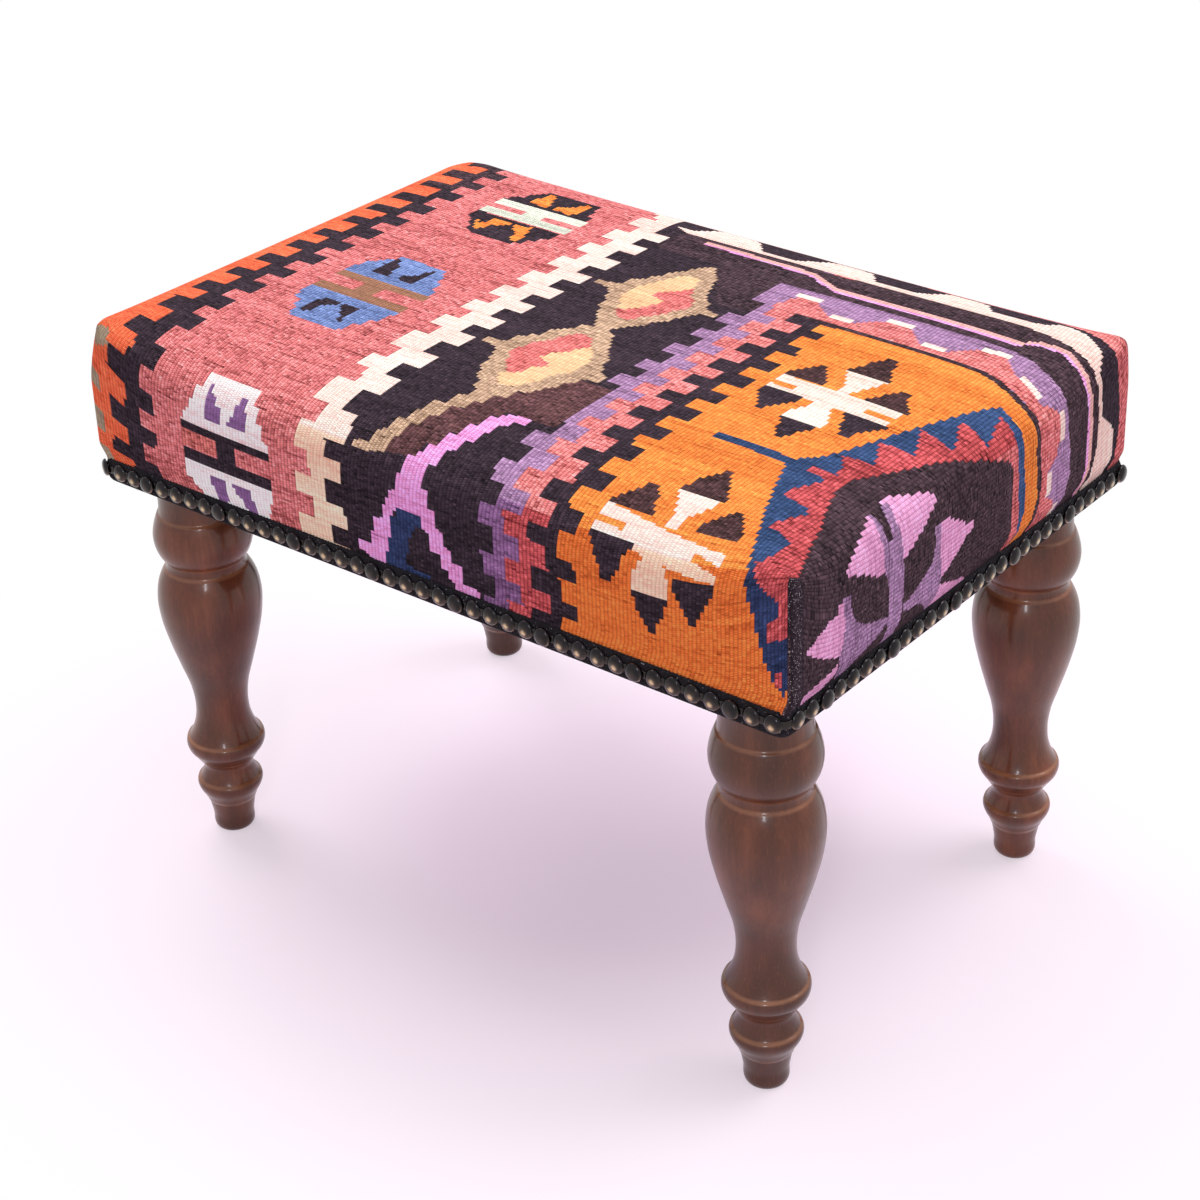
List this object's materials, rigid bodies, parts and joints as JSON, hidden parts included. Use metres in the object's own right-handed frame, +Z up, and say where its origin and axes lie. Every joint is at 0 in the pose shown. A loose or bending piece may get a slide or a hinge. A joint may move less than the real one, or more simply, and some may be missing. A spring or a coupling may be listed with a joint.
{
  "type": "footstool",
  "caption": "Low rectangular footstool with a padded top covered in flat-woven geometric kilim, edged with braid and studs, on turned dark wood legs.",
  "frame": {"origin": "on the floor, under the middle of the stool", "axes": "+X along the long side, +Y across towards the rear, +Z up"},
  "size_m": [0.4574, 0.3204, 0.319],
  "materials": {
    "leg_wood": "satin",
    "softwood": "matte",
    "plywood": "matte",
    "steel": "satin",
    "foam": "matte",
    "wadding": "matte",
    "kilim": "matte",
    "braid": "matte",
    "nail_metal": "satin",
    "dust_cloth": "matte"
  },
  "bodies": {
    "root": {"leg_front_left": "leg_wood", "leg_front_right": "leg_wood", "leg_rear_left": "leg_wood", "leg_rear_right": "leg_wood", "rail_front": "softwood", "rail_rear": "softwood", "rail_left": "softwood", "rail_right": "softwood", "frame_dowels": "softwood", "corner_block_front_left": "softwood", "corner_block_front_right": "softwood", "corner_block_rear_left": "softwood", "corner_block_rear_right": "softwood", "deck_panel": "plywood", "hanger_bolts": "steel", "tee_nuts": "steel", "corner_block_screws": "steel", "deck_screws": "steel", "hem_staples": "steel", "dust_cover_staples": "steel", "foam_pad": "foam", "wadding": "wadding", "kilim_cover": "kilim", "braid_trim": "braid", "nail_strip": "nail_metal", "decorative_nails": "nail_metal", "dust_cover": "dust_cloth"}
  },
  "joints": []
}
